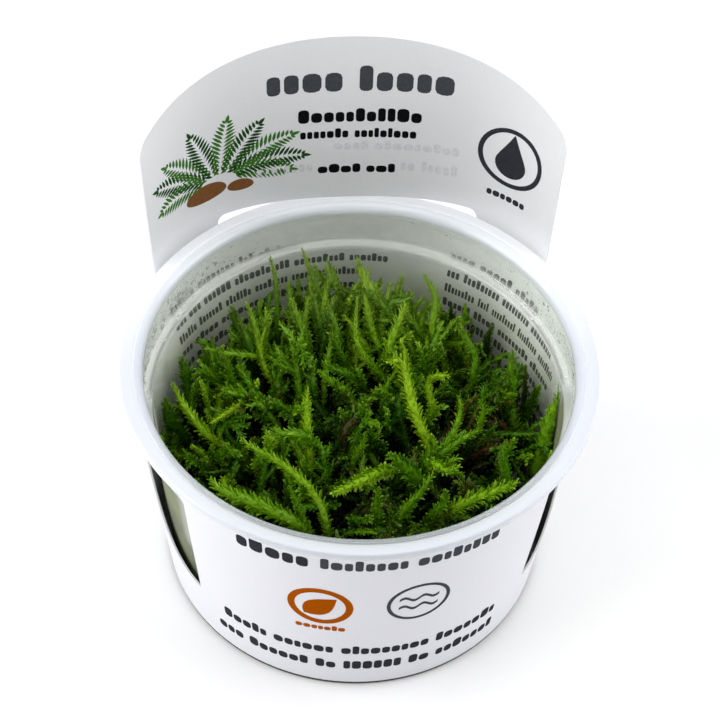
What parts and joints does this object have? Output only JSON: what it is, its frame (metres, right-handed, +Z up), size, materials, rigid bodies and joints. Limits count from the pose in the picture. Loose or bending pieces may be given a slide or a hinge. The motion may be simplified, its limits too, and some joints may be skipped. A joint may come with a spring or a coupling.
{
  "type": "weeping moss tissue culture cup",
  "caption": "Clear open cup of weeping moss on culture gel, in a printed card sleeve that has side windows and a raised header panel behind the rim.",
  "frame": {"origin": "centre of the cup's flat base, on the surface that it stands on", "axes": "+Z up along the cup's axis, -Y towards the printed front of the sleeve, +Y towards the header panel"},
  "size_m": [0.1, 0.1026, 0.1023],
  "materials": {
    "clear_plastic": "gloss",
    "printed_card": "satin",
    "gel": "gloss",
    "moss": "matte"
  },
  "bodies": {
    "root": {"cup": "clear_plastic", "sleeve": "printed_card", "culture_gel": "gel", "moss_tuft_00": "moss", "moss_tuft_01": "moss", "moss_tuft_02": "moss", "moss_tuft_03": "moss", "moss_tuft_04": "moss", "moss_tuft_05": "moss", "moss_tuft_06": "moss", "moss_tuft_07": "moss", "moss_tuft_08": "moss", "moss_tuft_09": "moss", "moss_tuft_10": "moss", "moss_tuft_11": "moss", "moss_tuft_12": "moss", "moss_tuft_13": "moss", "moss_tuft_14": "moss", "moss_tuft_15": "moss", "moss_tuft_16": "moss", "moss_tuft_17": "moss"}
  },
  "joints": []
}
